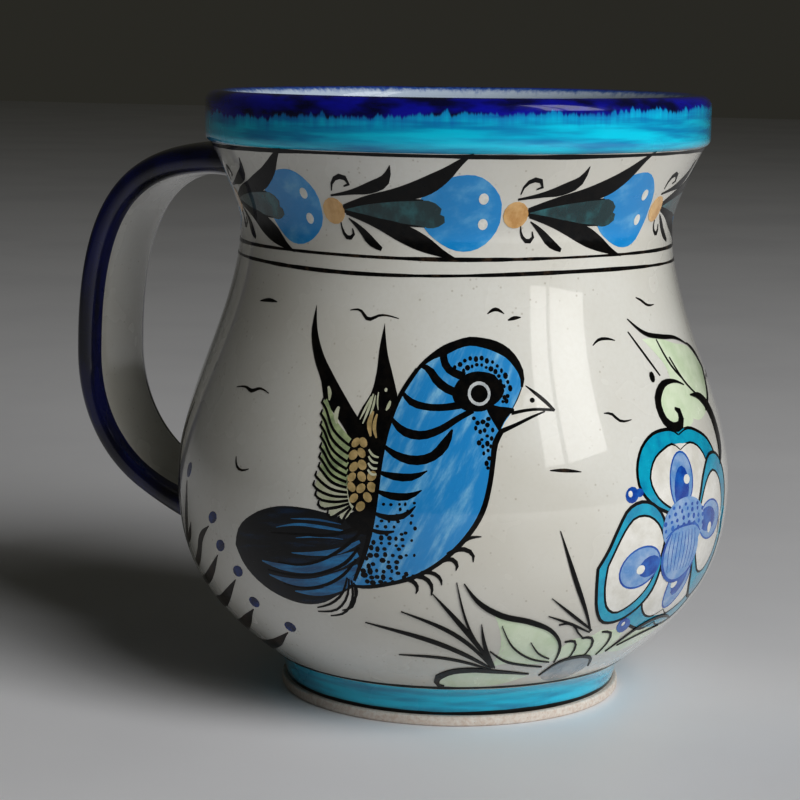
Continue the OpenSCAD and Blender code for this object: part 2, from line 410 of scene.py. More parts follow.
finishes = {
    "cream": creamGlaze("creamGlaze", creamLook),
    "liner": linerGlaze("linerGlaze", linerLook),
    "collar": collarGlaze("collarGlaze", collarLook),
    "band": bandGlaze("footBandGlaze", bandLook),
    "strap": strapGlaze("strapGlaze", strapLook),
    "clay": bareClay("clayBody", clayLook),
    "foot": bareClay("footClay", footLook),
    "black": paint("blackBrown", tone(7, 8, 10), tone(26, 22, 19), 70, share=0.7, shine=0.16),
    "blackThin": paint("brownLine", tone(12, 12, 13), tone(86, 68, 52), 34, share=1.0, low=0.48, high=0.8,
                       shine=0.2),
    "birdBlue": paint("birdBlue", tone(44, 146, 210), tone(150, 206, 236), 30, 62, (0.35, 1.4, 1), low=0.44,
                      high=0.78),
    "tulip": paint("tulipBlue", tone(20, 146, 214), tone(124, 194, 234), 16, 10, (0.7, 1.3, 1), low=0.44,
                   high=0.8),
    "tail": paint("tailNavy", tone(7, 11, 17), tone(14, 46, 78), 26, 8, (0.4, 2.8, 1), low=0.5, high=0.8,
                  shine=0.25),
    "tailBlue": paint("tailBlue", tone(10, 88, 138), tone(26, 138, 198), 30, 10, (0.5, 2.6, 1)),
    "teal": paint("tealCalyx", tone(10, 52, 56), tone(46, 122, 128), 20, low=0.42, high=0.8),
    "leaf": paint("paleGreen", tone(226, 238, 214), tone(206, 224, 192), 18),
    "wing": paint("wingGreen", tone(178, 192, 148), tone(128, 146, 112), 40),
    "plume": paint("palePlume", tone(206, 208, 188), tone(184, 190, 160), 40),
    # the vine drops' dark navy is their own ink blue made darker still as painted shade
    "inkBlueAndShade": paint("inkBlueAndShade", tone(8, 22, 70), tone(16, 60, 140), 40, shine=0.25),
    "ochre": paint("ochre", tone(226, 188, 132), tone(198, 150, 88), 24),
    "scale": paint("wingOchre", tone(196, 172, 124), tone(150, 132, 88), 60),
    "white": paint("whiteDots", tone(238, 238, 232), tone(214, 216, 210), 60),
    "turquoise": paint("petalTurquoise", tone(10, 170, 200), tone(14, 138, 178), 30),
    "petal": paint("petalWhite", tone(232, 231, 226), tone(216, 214, 206), 30),
    "lilac": paint("lilacBlue", tone(104, 152, 206), tone(158, 184, 218), 34),
    "royal": paint("royalBlue", tone(12, 66, 160), tone(40, 112, 196), 36),
    "stone": paint("stoneGrey", tone(122, 132, 140), tone(158, 162, 164), 30),
    "vine": paint("vineBrown", tone(22, 16, 12), tone(58, 42, 32), 26, shine=0.16, low=0.4, high=0.72),
    "ring": paint("eyeRing", tone(206, 210, 212), tone(176, 182, 186), 60),
}
print("finishes mixed:", len(finishes))

# turned coats
for name, part, slot, finish, node in (
        ("bodyGlaze", "body", "white_glaze", "cream", "body_glaze"),
        ("collarGlaze", "collar", "turquoise_glaze", "collar", "collar_turquoise_glaze"),
        ("lipGlaze", "lip", "cobalt_glaze", "collar", "lip_cobalt_glaze"),
        ("footBandGlaze", "band", "turquoise_glaze", "band", "foot_band_glaze"),
        ("linerGlaze", "liner", "white_glaze", "liner", "liner_glaze")):
    fitted(turned(name, coatOutline(part)), slot, finishes[finish], node)
footRing = {"innerR": 24.0, "outerR": 29.8, "height": 1.7, "round": 0.4, "top": 4.0}


def footOutline(ring):
    r = ring["round"]
    inner, outer = ring["innerR"] + r, ring["outerR"] - r

    def corner(x, z, a, b):
        return [(x + r * math.cos(t), z + r * math.sin(t)) for t in np.radians(np.linspace(a, b, 5))]

    under = corner(inner, r, 180, 270) + [(27, 0.0)] + corner(outer, r, 270, 360)
    over = corner(outer, ring["height"] - r, 0, 90)
    hidden = [mug["footTop"], tuple(clay[0]), (clay[1][0], ring["top"])]      # against the clay
    return np.array([(ring["innerR"], ring["top"])] + under + over + hidden)


fitted(turned("footRing", footOutline(footRing)), "bare_clay", finishes["foot"], "foot_ring")
print("turned coats done")

# the strap handle's coats
strap = {
    "topT": 5.2, "lowT": 4.0, "width": 20.0,      # thickness at each end, and width
    "square": 3.2,                                # how square the section is; 2 is an ellipse
    "spread": 3.2, "rise": 0.3, "taper": 4,       # flare into the wall, over the first stations
    "bow": (67.7, 55.5),                          # the point farthest from the mug
    "glaze": 0.4, "finer": 3,
}
strapLine = joined(
    curve((37, 91.7), (51, 91.7), (67.7, 92.6), strap["bow"], 20 * strap["finer"]),
    curve(strap["bow"], (67.7, 43.5), (61, 31.4), (43.8, 28.8), 14 * strap["finer"]))
strapOut = strapLine - shifted(strapLine, 1.0)


def squared(value):
    return np.sign(value) * np.abs(value) ** (2 / strap["square"])


def strapPoints(k, angle, coat):      # k counts stations of strapLine, angle goes round its section
    station = k / strap["finer"]
    last = (len(strapLine) - 1) / strap["finer"]
    spread = strap["spread"] * np.maximum(0, 1 - np.minimum(station, last - station) / strap["taper"]) ** 2
    half = (strap["topT"] + (strap["lowT"] - strap["topT"]) * station / last) / 2
    out = (half + coat + spread * strap["rise"]) * squared(np.cos(angle))
    wide = (strap["width"] / 2 + coat + spread) * squared(np.sin(angle))
    spot = strapLine[k] + out[:, None] * strapOut[k]
    return np.stack([-spot[:, 0], wide, spot[:, 1]], 1)


def rolledCoat(name, start, stop, step=4):      # a coat over part of the section, in degrees
    freshStart()
    angles = np.radians(np.arange(start, stop + step / 2, step))
    section = [(a, strap["glaze"]) for a in angles] + [(a, 0.0) for a in angles[::-1]]
    around = len(section)
    stations = len(strapLine)
    bpy.ops.mesh.primitive_grid_add(x_subdivisions=stations - 1, y_subdivisions=around, size=1)
    piece = bpy.context.object
    flat = np.empty(len(piece.data.vertices) * 3)
    piece.data.vertices.foreach_get("co", flat)
    flat = flat.reshape(-1, 3)
    k = np.rint((flat[:, 0] + 0.5) * (stations - 1)).astype(int)
    j = np.rint((flat[:, 1] + 0.5) * around).astype(int) % around
    angle, coat = np.array(section)[j].T
    piece.data.vertices.foreach_set("co", (strapPoints(k, angle, coat) * mm).ravel())
    editAll()
    bpy.ops.mesh.remove_doubles(threshold=1e-6)
    bpy.ops.mesh.fill_holes(sides=0)
    bpy.ops.mesh.select_all(action="SELECT")
    bpy.ops.mesh.normals_make_consistent(inside=False)
    return doneShaping(piece, name, 50)


fitted(rolledCoat("handleCobaltGlaze", -140, 140), "cobalt_glaze", finishes["strap"], "handle_cobalt_glaze")
fitted(rolledCoat("handleCreamGlaze", 140, 220), "grey_glaze", finishes["cream"], "handle_cream_glaze")
carried = {      # clay and glaze that keep their own meshes
    "clay_body": "clay", "handle_strap": "clay", "upper_slip_joint": "clay", "lower_slip_joint": "clay",
    "base_glaze": "cream",
}
for node, finish in carried.items():
    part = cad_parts[node]
    part.data.materials.clear()
    part.data.materials.append(finishes[finish])
print("handle coats rolled")

# brush marks as thin films
outer = joined(bandLow, bandTop, bellyLow, bellyTop, neck, collarLow)
outerNormal = shifted(outer, 1.0) - outer
film = {
    "aroundR": mug["belly"][0],      # distances round the mug are measured at the belly
    "face": -70.0,                   # the direction that the painted face looks, in degrees
    "buried": 0.02, "levels": (0.022, 0.036, 0.05, 0.064, 0.078), "rise": 0.0004,
    "patternSize": 100,              # millimetres of paint to one unit of its pattern
}
laid = []


def onMug(spots, lift):      # spots are (mm round the belly from the front, mm above the table)
    angle = math.radians(film["face"]) + spots[:, 0] / film["aroundR"]
    columns = (outer[:, 0], outerNormal[:, 0], outerNormal[:, 1])
    at = [np.interp(spots[:, 1], outer[:, 1], column) for column in columns]
    radius = at[0] + lift * at[1]
    normal = np.stack([np.cos(angle) * at[1], np.sin(angle) * at[1], at[2]], 1)
    return np.stack([radius * np.cos(angle), radius * np.sin(angle), spots[:, 1] + lift * at[2]], 1), normal


def smoothRun(points, fine=0.4):      # a smooth line through every point, with a step of about fine
    p = np.array(points, float)
    gap = np.linalg.norm(np.diff(p[:, :2], axis=0), axis=1)
    t = np.concatenate([[0], np.cumsum(gap)])
    slope = np.diff(p, axis=0) / gap[:, None]
    bend = np.empty_like(p)
    bend[1:-1] = (slope[:-1] * gap[1:, None] + slope[1:] * gap[:-1, None]) / (gap[1:] + gap[:-1])[:, None]
    bend[0] = 1.5 * slope[0] - 0.5 * bend[1]
    bend[-1] = 1.5 * slope[-1] - 0.5 * bend[-2]
    at = np.linspace(0, t[-1], max(12, int(t[-1] / fine)))
    i = np.clip(np.searchsorted(t, at, side="right") - 1, 0, len(gap) - 1)
    h = gap[i][:, None]
    s = (at - t[i])[:, None] / h
    return ((2 * s ** 3 - 3 * s ** 2 + 1) * p[i] + (s ** 3 - 2 * s ** 2 + s) * h * bend[i]
            + (3 * s ** 2 - 2 * s ** 3) * p[i + 1] + (s ** 3 - s ** 2) * h * bend[i + 1])


def evenly(path, count):
    gap = np.linalg.norm(np.diff(path[:, :2], axis=0), axis=1)
    t = np.concatenate([[0], np.cumsum(gap)])
    at = np.linspace(0, t[-1], count)
    return np.stack([np.interp(at, t, path[:, c]) for c in range(path.shape[1])], 1)


def lengthOf(path):
    return float(np.linalg.norm(np.diff(path[:, :2], axis=0), axis=1).sum())


def brush(points, widths, step=1.2):      # one stroke, with its width at each point
    path = smoothRun([(*p, w) for p, w in zip(points, widths)])
    count = max(7, int(lengthOf(path) / step) + 1)
    path = evenly(path, count)
    along = np.gradient(path[:, :2], axis=0)
    along /= np.linalg.norm(along, axis=1)[:, None]
    side = np.stack([-along[:, 1], along[:, 0]], 1)
    beats = np.arange(0, count + 4, 4)
    shake = 1 + 0.07 * np.interp(np.arange(count), beats, rng.uniform(-1, 1, len(beats)))
    half = np.maximum(path[:, 2] * shake, 0.05)[:, None] / 2
    across = 2 if half.max() < 0.7 else 3 + int(half.max() / 1.2)
    return np.stack([path[:, :2] + side * half * f for f in np.linspace(-1, 1, across)], 1)


def field(sideA, sideB, step=1.5):      # a filled shape between two sides that start and end together
    a = np.concatenate([smoothRun(run) for run in sideA])
    b = np.concatenate([smoothRun(run) for run in sideB])
    count = max(7, int(max(lengthOf(a), lengthOf(b)) / step) + 1)
    a = evenly(a, count)
    b = evenly(b, count)
    across = max(2, int(np.linalg.norm(a - b, axis=1).max() / step) + 2)
    share = np.linspace(0, 1, across)[None, :, None]
    return a[:, None, :] * (1 - share) + b[:, None, :] * share


def ringPoints(centre, rx, rz, angles, turn=0.0):      # points on a tilted oval
    c, s = math.cos(math.radians(turn)), math.sin(math.radians(turn))
    x, z = rx * np.cos(angles), rz * np.sin(angles)
    return np.stack([centre[0] + x * c - z * s, centre[1] + x * s + z * c], 1)


def oval(centre, rx, rz, turn=0.0, step=1.0):
    over = ringPoints(centre, rx, rz, np.linspace(math.pi, 0, 16), turn)
    under = ringPoints(centre, rx, rz, np.linspace(math.pi, math.tau, 16), turn)
    return field([over], [under], step)


def dot(centre, size, sides=9):
    t = np.arange(sides) * math.tau / sides
    squash = rng.uniform(0.85, 1.15)
    return np.stack([centre[0] + size * squash * np.cos(t), centre[1] + size / squash * np.sin(t)], 1)


def moved(shapes, at, flip=False):      # copies carried round the mug, or mirrored first
    return [shape * ((-1, 1) if flip else (1, 1)) + (at, 0) for shape in shapes]


def layFilm(name, shapes, level, slot, finish, lifted=0.0):      # flat shapes become one closed film
    freshStart()
    spots = []
    shapes = sorted(shapes, key=lambda shape: shape.ndim == 2)      # strokes first, dots last
    for n, shape in enumerate(shapes):
        if shape.ndim == 2:
            x, z = shape[:, 0], shape[:, 1]
            if (x * np.roll(z, -1) - z * np.roll(x, -1)).sum() < 0:
                shape = shape[::-1]
            bpy.ops.mesh.primitive_circle_add(vertices=len(shape), fill_type="NGON")
        else:
            ahead = shape[1:, :-1] - shape[:-1, :-1]
            aside = shape[:-1, 1:] - shape[:-1, :-1]
            if (aside[..., 0] * ahead[..., 1] - aside[..., 1] * ahead[..., 0]).sum() < 0:
                shape = shape[:, ::-1]
            long, wide = shape.shape[:2]
            bpy.ops.mesh.primitive_grid_add(x_subdivisions=wide - 1, y_subdivisions=long - 1, size=1)
        if n == 0:
            piece = bpy.context.object
            bpy.ops.object.mode_set(mode="EDIT")
        flatSpots = shape.reshape(-1, 2)
        rise = np.full(len(flatSpots), n % 20 * film["rise"])      # crossing strokes aren't level
        spots.append(np.column_stack([flatSpots, rise]))
    bpy.ops.object.mode_set(mode="OBJECT")
    spots = np.concatenate(spots)
    depth = film["levels"][level] + lifted
    placed, normal = onMug(spots, depth + spots[:, 2])
    mesh = piece.data
    mesh.vertices.foreach_set("co", (placed * mm).ravel())
    corners = np.empty(len(mesh.loops), int)
    mesh.loops.foreach_get("vertex_index", corners)
    mesh.uv_layers[0].name = "UVMap"
    mesh.uv_layers[0].data.foreach_set("uv", (spots[corners, :2] / film["patternSize"]).ravel())
    mesh.update()
    wall = piece.modifiers.new("film", "SOLIDIFY")
    wall.thickness = (depth + film["buried"]) * mm
    wall.offset = -1.0
    bpy.ops.object.modifier_apply(modifier=wall.name)
    smoothed(piece)
    piece.name = name
    mesh.name = name
    laid.append(name)
    return fitted(piece, slot, finishes[finish])


def smoothed(piece):      # film faces shine exactly as the coat under them does
    mesh = piece.data
    spots = np.empty(len(mesh.vertices) * 3)
    mesh.vertices.foreach_get("co", spots)
    spots = spots.reshape(-1, 3) / mm
    radius = np.hypot(spots[:, 0], spots[:, 1])
    slope = [np.interp(spots[:, 2], outer[:, 1], outerNormal[:, c]) for c in (0, 1)]
    ideal = np.stack([spots[:, 0] / radius * slope[0], spots[:, 1] / radius * slope[0], slope[1]], 1)
    corners = np.empty(len(mesh.loops), int)
    mesh.loops.foreach_get("vertex_index", corners)
    sizes = np.empty(len(mesh.polygons), int)
    mesh.polygons.foreach_get("loop_total", sizes)
    faces = np.empty(len(mesh.polygons) * 3)
    mesh.polygons.foreach_get("normal", faces)
    faceOf = np.repeat(faces.reshape(-1, 3), sizes, axis=0)
    want = ideal[corners]
    facing = (want * faceOf).sum(1)
    want = np.where((facing > 0.6)[:, None], want, np.where((facing < -0.6)[:, None], -want, faceOf))
    bpy.ops.object.shade_smooth()
    mesh.normals_split_custom_set(want.tolist())


# lines round the mug
lines = {      # height, width and waver
    "collarLine": (95.0, 0.62, 0.08), "neckLineHigh": (78.7, 0.5, 0.28), "neckLineLow": (76.2, 0.56, 0.22),
    "footLineHigh": (7.15, 0.5, 0.12), "footLineLow": (2.05, 0.62, 0.08),
}
girth = film["aroundR"] * math.tau


def roundLine(height, width, wave):
    u = np.linspace(-girth / 2, girth / 2 + 1.5, 90)
    phase = rng.uniform(0, math.tau, 4)
    z = height + wave * sum(np.sin((n + 2) * u / film["aroundR"] + phase[n]) for n in range(3)) / 2
    w = width * (1 + 0.22 * np.sin(5 * u / film["aroundR"] + phase[3]) + rng.uniform(-0.16, 0.16, len(u)))
    return brush(list(zip(u, z)), list(w), 1.5)


for name, (height, width, wave) in lines.items():
    finish = "blackThin" if "neck" in name else "black"
    layFilm(name, [roundLine(height, width, wave)], 1, "black_paint", finish)
print("lines drawn round the mug")

# garland round the neck
garland = {
    "units": 8,
    "tulip": [(-8, 86.4), (-6.6, 88.6), (-3.2, 90.9), (0.6, 92.0), (4.2, 91.9), (7.1, 90.2), (8.8, 88),
              (9, 86)],
    "tulipLow": [(-8, 86.4), (-6.6, 83.6), (-3.4, 81.2), (0.4, 79.9), (4.2, 80.2), (7.2, 81.9), (8.8, 84.1),
                 (9, 86)],
}


def garlandUnit():
    unit = {"tulip": [field([garland["tulip"]], [garland["tulipLow"]])]}
    unit["white"] = [oval((5.3, 88.3), 0.98, 0.92, step=0.7), oval((5.4, 84.2), 1.0, 0.92, step=0.7)]
    unit["ochre"] = [oval((12, 85.7), 2.6, 2.15, 4)]
    unit["teal"] = [
        field([[(-23.2, 86), (-18, 87.6), (-12, 88.0), (-6, 87.8)]],
              [[(-23.2, 85.9), (-18, 84.6), (-12, 83.9), (-6, 83.8)]]),
        brush([(-12, 86.9), (-7.5, 86.9), (-4.4, 86.6), (-3.0, 86.2)], [1.0, 2.0, 2.0, 0.9]),
        brush([(-12, 85.0), (-7, 84.8), (-3.8, 84.8), (-2.3, 84.9)], [1.0, 2.3, 2.3, 1.0])]
    unit["black"] = [
        brush([(-23.4, 86.6), (-17.6, 87.9), (-11.4, 88.8), (-5.6, 90.3), (-1.9, 92.2), (0.8, 94.2),
               (2.9, 95.5)], [0.4, 1.2, 2.2, 2.9, 2.2, 1.0, 0.12]),
        brush([(-23.0, 85.4), (-17.4, 84.3), (-11.2, 82.6), (-5.8, 80.7), (-2.4, 79.4), (0.6, 78.5)],
              [0.4, 1.5, 3.0, 2.5, 1.1, 0.12]),
        brush([(-23.6, 86.2), (-18.6, 87.3), (-12.2, 87.9), (-6.4, 88.0)], [0.5, 0.8, 0.55, 0.15]),
        brush([(-23.6, 85.8), (-18.6, 84.9), (-12.2, 84.0), (-7.0, 83.7)], [0.5, 0.8, 0.5, 0.15]),
        brush([(-25.8, 88.2), (-21, 88.9), (-16.6, 89.8), (-13.4, 91.2), (-12.3, 93.4)],
              [0.3, 0.8, 1.8, 1.6, 0.12]),
        brush([(-22.6, 84.6), (-20.2, 83.0), (-18.0, 81.2), (-15.4, 79.9)], [0.2, 1.0, 1.5, 0.6]),
        brush([(-25.4, 89.0), (-24.8, 90.4), (-23.4, 91.3), (-21.8, 91.2), (-21.2, 90.2), (-22.4, 89.8)],
              [0.2, 0.5, 0.8, 0.8, 0.6, 0.2]),
        brush([(-24.6, 83.9), (-24.2, 82.3), (-23.0, 81.4), (-21.8, 81.9), (-22.0, 83.0)],
              [0.2, 0.5, 0.7, 0.6, 0.2])]
    return unit


garlandParts = {"tulip": [], "white": [], "ochre": [], "teal": [], "black": []}
for n in range(garland["units"]):
    for part, shapes in garlandUnit().items():
        garlandParts[part] += moved(shapes, at=(n - 4) * girth / garland["units"])
layFilm("garlandTulips", garlandParts["tulip"], 0, "blue_paint", "tulip")
layFilm("garlandCalyxes", garlandParts["teal"], 1, "green_paint", "teal")
layFilm("garlandLeaves", garlandParts["black"], 2, "black_paint", "black")
layFilm("garlandBerries", garlandParts["ochre"], 3, "ochre_paint", "ochre")
layFilm("garlandDots", garlandParts["white"], 3, "white_glaze", "white")
print("garland laid")

# bird
bird = {
    "back": [(-16.6, 27.6), (-15.2, 30), (-13.8, 33.6), (-12.6, 38), (-12, 43), (-11.6, 48), (-10.7, 53),
             (-9.1, 57.6), (-6.6, 61.4), (-2.8, 64.1), (2.6, 65.7), (7.4, 65.1), (10.4, 63.6), (12.2, 60.9),
             (12.0, 58.8)],
    "breast": [(-16.6, 27.4), (-14.5, 27.4), (-10, 28.2), (-5.2, 29.9), (-1.2, 32.6), (2.2, 36.2),
               (4.6, 40.2), (5.9, 44.5), (6.6, 48.5), (7.8, 52)],
    "face": [(7.8, 52), (8.6, 53.6), (10, 55.2), (11, 57), (12.0, 58.8)],
}


def birdParts():
    part = {}
    part["blue"] = [field([bird["back"]], [bird["breast"], bird["face"]])]
    part["black"] = [
        brush([(-15.8, 28.2), (-13.8, 33), (-12.6, 38), (-12, 43), (-11.7, 48), (-10.9, 53), (-9.3, 57.6),
               (-6.6, 61.6)], [0.5, 0.8, 0.8, 0.7, 0.8, 0.8, 0.8, 0.7]),
        brush([(-7.6, 60.4), (-5.6, 62.5), (-4.0, 63.6), (-1.5, 64.7), (0.3, 65.4), (2.9, 66.0), (5.2, 65.8),
               (7.8, 65.2), (10.2, 64.0), (11.7, 62.3), (12.4, 60.7), (12.2, 59.0)],
               [0.4, 0.7, 0.9, 1.5, 1.3, 1.3, 1.4, 1.6, 1.5, 1.3, 0.9, 0.4]),
        brush([(-16.8, 27.3), (-14, 27.3), (-10, 28.1), (-5.2, 29.8), (-1.2, 32.5), (2.3, 36.1), (4.8, 40.2),
               (6.0, 44.5), (6.6, 48.2), (7.0, 50.6), (8.3, 52.7)],
              [0.3, 0.6, 0.6, 0.7, 0.7, 0.8, 0.9, 0.8, 0.8, 1.0, 0.9]),
        brush([(-1.9, 64.5), (-1.8, 62.9), (-0.9, 61.7), (0.6, 61.0), (2.0, 60.6)],
              [1.2, 1.3, 1.2, 1.2, 1.4]),
        brush([(-6.3, 62.2), (-4.4, 61.6), (-3.4, 60.4), (-1.9, 59.2), (-0.1, 58.4), (1.2, 58.2)],
              [0.3, 1.1, 1.3, 1.3, 1.2, 1.2]),
        brush([(-9.2, 58.3), (-7.4, 56.7), (-4.6, 56.0), (-1.4, 56.0), (1.2, 56.4)],
              [0.4, 1.1, 1.1, 1.1, 1.2]),
        brush([(-10.8, 54.4), (-8.4, 52.3), (-5.2, 51.7), (-2.2, 52.6), (0.9, 54.4), (3.4, 55.6)],
              [0.4, 1.2, 1.3, 1.2, 1.0, 0.9]),
        brush([(-11.7, 50.1), (-9, 48.5), (-5.8, 47.9), (-3.2, 48.6), (-1.2, 50.6), (-0.1, 52.7)],
              [0.4, 1.1, 1.4, 1.4, 1.5, 0.3]),
        brush([(-12, 45.9), (-9, 45.3), (-6.2, 45.4), (-4.0, 46.4)], [0.4, 1.1, 1.0, 0.15]),
        brush([(-12.1, 43.0), (-9.4, 42.3), (-6.8, 42.4), (-4.8, 43.4)], [0.4, 1.1, 1.0, 0.15]),
        brush([(-12.5, 39.6), (-9.8, 38.9), (-7.4, 39.4), (-5.7, 40.9)], [0.4, 1.0, 0.9, 0.2]),
        brush([(-13.2, 37.0), (-11, 36.5), (-9.0, 36.8)], [0.4, 0.7, 0.3])]
    part["mask"] = [
        field([[(-0.3, 58.1), (0.6, 59.8), (1.8, 60.8), (3.6, 61.4), (5.9, 61.3), (7.4, 60.9), (8.1, 60.1),
                (8.9, 59.4), (9.0, 58.5), (8.4, 57.4), (6.9, 56.4)]],
              [[(-0.3, 58.1), (0.2, 56.8), (1.7, 55.7), (3.8, 55.4), (5.6, 55.6), (6.9, 56.4)]], 1.0),
        field([[(5.6, 57.0), (7.6, 56.2), (9.6, 56.0), (10.9, 55.7)],
               [(10.9, 55.7), (9.3, 54.6), (8.5, 53.6), (7.8, 52.3)]],
              [[(5.6, 57.0), (5.8, 55.6), (6.5, 54.3), (7.2, 53.2), (7.8, 52.3)]], 0.8)]
    eyeRing = ringPoints((4.5, 58.1), 1.78, 1.6, np.linspace(0.3, math.tau + 0.3, 18))
    part["ring"] = [brush(eyeRing, [0.52] * 18, 0.6)]
    part["beak"] = [
        field([[(11.9, 59.4), (13.2, 59.0), (14.6, 57.9), (16.3, 56.6), (17.6, 55.4)]],
              [[(10.0, 55.3), (13.5, 55.6), (17.6, 55.3)]], 0.9),
        field([[(9.8, 55.4), (13, 55.5), (15.8, 55.3)]], [[(8.0, 52.9), (10.8, 53.5), (13.5, 54.6),
                (15.8, 55.2)]], 0.9)]
    part["beakLines"] = [
        brush([(12.9, 59.2), (14.5, 58.1), (16.2, 56.8), (17.8, 55.3)], [0.12, 0.5, 0.6, 0.4]),
        brush([(17.7, 55.4), (13.8, 55.6), (10.0, 55.1)], [0.4, 0.42, 0.5]),
        brush([(16.0, 55.25), (13.6, 54.5), (11, 53.5), (8.3, 52.5)], [0.2, 0.4, 0.5, 0.7]),
        dot((13.9, 57.0), 0.42),
        brush([(12.2, 59.0), (11.2, 57.2), (10.0, 55.5)], [0.12, 0.16, 0.12])]
    specks = []
    for reach, start, stop, count in ((4.7, 16, 124, 11), (5.75, 10, 134, 13)):
        for a in np.radians(np.linspace(start, stop, count)):
            span = reach + rng.uniform(-0.22, 0.22)
            spot = (4.3 + span * math.cos(a), 57.9 + span * 0.96 * math.sin(a))
            specks.append(dot(spot, rng.uniform(0.26, 0.5), 7))
    for x, z in ((3.4, 54.4), (4.2, 53.6), (5.1, 53.8), (5.9, 54.4), (5.3, 52.7), (5.9, 53.3), (6.6, 52.6),
                 (4.6, 52.4), (5.8, 51.8), (6.5, 51.4), (4.8, 51.2), (5.7, 50.7), (4.9, 50.2), (5.8, 49.6),
                 (5.1, 49.1), (5.9, 48.5), (5.4, 47.7), (5.8, 46.9), (8.9, 57.6), (8.5, 57.0), (9.3, 57.0),
                 (9.6, 57.8), (6.2, 50.2), (4.4, 50.8), (3.9, 52.9)):
        spot = (x + rng.uniform(-0.12, 0.12), z + rng.uniform(-0.12, 0.12))
        specks.append(dot(spot, rng.uniform(0.26, 0.44), 7))
    for row in range(15):
        z = 28.3 + row * 0.92
        left = np.interp(z, [27, 30, 34, 38, 42], [-16.0, -14.6, -13.2, -11.8, -11])
        right = np.interp(z, [27, 29, 33, 37, 42], [-9.5, -7.6, -5.8, -5.4, -5.6])
        share = np.interp(z, [28, 34, 41], [0.97, 0.8, 0.6])
        swell = np.interp(z, [29, 40], [1.15, 0.85])
        for x in np.arange(left + 0.5, right, 1.15):
            if rng.uniform() < share * (0.5 if x > right - 1.4 else 1):
                size = rng.uniform(0.24, 0.42) * np.interp(x, [-14, -6], [1.25, 0.85]) * swell
                spot = (x + rng.uniform(-0.28, 0.28) + 0.3 * (row % 2), z + rng.uniform(-0.22, 0.22))
                specks.append(dot(spot, size, 7))
    part["specks"] = specks
    part["claws"] = [brush(run, widths) for run, widths in (
        ([(-7.4, 29.1), (-5.9, 28.7), (-5.3, 27.6), (-5.6, 26.7)], [0.6, 0.7, 0.5, 0.15]),
        ([(-6.2, 29.6), (-3.9, 29.3), (-3.0, 28.0), (-3.1, 26.5)], [0.6, 0.7, 0.55, 0.15]),
        ([(-4.7, 30.3), (-2.6, 30.2), (-1.6, 29.3), (-1.4, 28.3)], [0.6, 0.6, 0.5, 0.15]),
        ([(-1.8, 32.1), (0.2, 32.6), (1.0, 31.7), (0.8, 30.8)], [0.6, 0.7, 0.55, 0.15]),
        ([(-0.6, 33.4), (2.0, 34.3), (3.4, 33.5), (3.5, 32.2)], [0.6, 0.7, 0.55, 0.15]),
        ([(1.0, 34.7), (2.6, 36.0), (4.7, 36.3)], [0.6, 0.6, 0.15]))]
    return part


def tailParts():
    part = {}
    part["field"] = [field([[(-12.0, 36.9), (-17, 38.2), (-24, 39.2), (-30, 38.8), (-35, 36.9), (-38.7, 34),
                             (-39.9, 31)]],
                           [[(-14.4, 28.0), (-18.4, 25.7), (-22.2, 23.6), (-25.8, 22.9), (-30, 23.3),
                             (-34.7, 25), (-38.3, 27.9), (-39.9, 31)]])]
    part["blue"] = [brush(run, widths) for run, widths in (
        ([(-16.5, 36.2), (-21, 36.5), (-26, 36.4), (-30, 35.4)], [0.15, 0.5, 0.4, 0.1]),
        ([(-17.8, 37.3), (-22, 37.6), (-27, 37.2)], [0.1, 0.35, 0.1]),
        ([(-17.4, 34.9), (-21.4, 34.9), (-26, 34.2)], [0.1, 0.3, 0.1]),
        ([(-15.0, 32.8), (-18.8, 30.9), (-24, 29.4), (-29, 28.9), (-33.6, 29.3)], [1.0, 2.1, 1.7, 1.2, 0.2]),
        ([(-14.9, 30.6), (-18.6, 28.4), (-23.6, 26.9), (-28, 26.6), (-32.4, 27.1)],
         [1.0, 2.0, 1.6, 1.1, 0.2]),
        ([(-15.2, 28.9), (-18.4, 26.9), (-23, 25.3), (-27.4, 25.0)], [0.8, 1.5, 1.1, 0.2]),
        ([(-14.6, 34.8), (-18.0, 33.0), (-22.6, 32.0), (-27, 31.6)], [0.5, 1.0, 0.7, 0.12]))]
    part["lines"] = [brush(run, widths) for run, widths in (
        ([(-14.2, 36.6), (-16.6, 34.2), (-19.8, 31.9), (-24.8, 29.9), (-30, 29.6)],
         [0.4, 0.6, 0.5, 0.4, 0.2]),
        ([(-14.8, 33.8), (-17.2, 31.0), (-20.8, 29.2), (-26, 27.9), (-32.6, 27.9)],
         [0.4, 0.6, 0.5, 0.4, 0.2]),
        ([(-15.3, 31.8), (-17.4, 29.2), (-20.4, 27.2), (-25, 25.9), (-29.6, 26.0)],
         [0.4, 0.5, 0.5, 0.4, 0.2]),
        ([(-13.9, 37.2), (-16.4, 36.4), (-19.4, 35.4), (-25, 34.9), (-31, 34.4)],
         [0.4, 0.6, 0.5, 0.4, 0.2]))]
    part["feathers"] = [field([[(-16.2, 28.4), (-17.4, 25.6), (-19.2, 23.4), (-22.0, 21.9), (-24.0, 22.2)]],
                              [[(-15.9, 28.2), (-15.8, 26), (-16.8, 23.4), (-19.8, 21.4), (-24.0, 22.1)]],
                              1.2)]
    part["featherLines"] = [brush(run, [0.3, 0.42, 0.4, 0.2]) for run in (
        [(-17, 28.6), (-18.2, 25.7), (-20.4, 23.8), (-23.5, 22.6)],
        [(-16.7, 28.4), (-17.4, 25.2), (-19.4, 22.9), (-23.6, 21.9)],
        [(-16.3, 28.2), (-16.5, 24.8), (-18.2, 22.4), (-21.2, 21.4)],
        [(-15.9, 27.8), (-15.9, 25.2), (-17.0, 23.3), (-18.7, 22.7)],
        [(-15.7, 27.6), (-15.5, 26.4), (-16.2, 24.9), (-16.9, 24.4)])]
    return part


